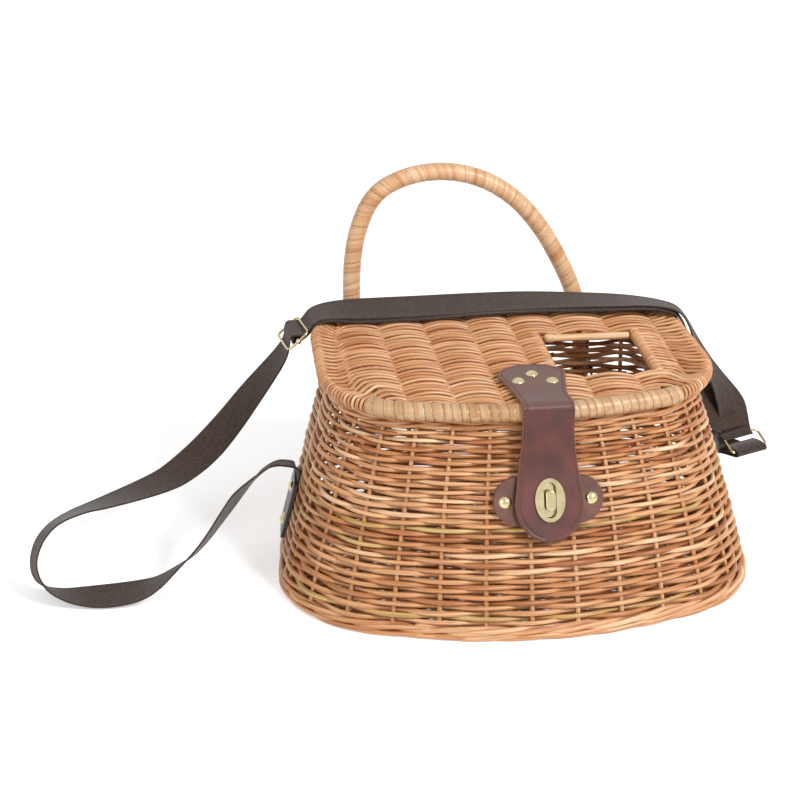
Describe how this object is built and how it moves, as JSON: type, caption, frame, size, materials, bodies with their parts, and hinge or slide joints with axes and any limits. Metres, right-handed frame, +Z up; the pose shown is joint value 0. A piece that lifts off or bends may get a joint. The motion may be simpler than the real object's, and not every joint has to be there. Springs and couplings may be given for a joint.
{
  "type": "wicker fishing creel",
  "caption": "Woven willow fishing creel with a hinged lid and fish hole, cane hoop handle, leather turn-button closure and webbing shoulder strap.",
  "frame": {"origin": "on the floor, in the middle of the basket's centre plane: X = 0 is the basket's plane of symmetry and Y = 0 lies between its front and back", "axes": "+X to the basket's right seen from the front, -Y to the front where the closure is, +Z up"},
  "size_m": [0.6046, 0.2773, 0.2855],
  "materials": {
    "willow": "peeled buff willow, satin",
    "willow_dark": "buff willow stakes, satin",
    "cane": "split cane, smooth",
    "leather": "dark red-brown, satin",
    "webbing": "ribbed dark brown webbing",
    "brass": "pale brass plating"
  },
  "bodies": {
    "basket": {"basket_wall": "willow", "wall_stakes": "willow_dark", "basket_floor": "willow", "foot_border": "willow", "rim_border": "willow", "handle_core": "willow", "handle_wrapping": "cane", "handle_lashings": "cane", "hinge_loop_left": "cane", "hinge_loop_right": "cane", "latch_patch": "leather", "latch_patch_rivets": "brass", "latch_patch_washers": "brass", "turnlock_base": "brass", "strap_tab_left": "leather", "strap_tab_left_rivets": "brass", "strap_tab_left_washers": "brass", "strap_tab_right": "leather", "strap_tab_right_rivets": "brass", "strap_tab_right_washers": "brass", "ring_webbing": "webbing", "strap_ring": "brass", "strap_slider": "brass", "strap_main": "webbing", "strap_return": "webbing"},
    "lid": {"lid_panel": "willow", "lid_frame": "willow", "lid_ribs": "willow_dark", "lid_front_binding": "cane", "hole_edge_rod": "cane", "closure_strap_top": "leather", "closure_rivets": "brass", "closure_washers": "brass"},
    "closure_flap": {"closure_flap": "leather", "eyelet_front": "brass", "eyelet_back": "brass"},
    "turn_button": {"turn_button": "brass"}
  },
  "joints": [
    {"name": "lid_hinge", "type": "hinge", "parent": "basket", "child": "lid", "pos_m": [0, 0.106, 0.164], "axis": [-1, 0, 0], "range_deg": [0, 90], "deforming": ["strap_main", "strap_return"]},
    {"name": "closure_bend", "type": "hinge", "parent": "lid", "child": "closure_flap", "pos_m": [0.007, -0.09186, 0.162], "axis": [-1, 0, 0], "range_deg": [0, 90]},
    {"name": "button_turn", "type": "hinge", "parent": "basket", "child": "turn_button", "pos_m": [0.007, -0.10281, 0.1], "axis": [0, -0.9157, 0.4018], "range_deg": [0, 90]}
  ]
}
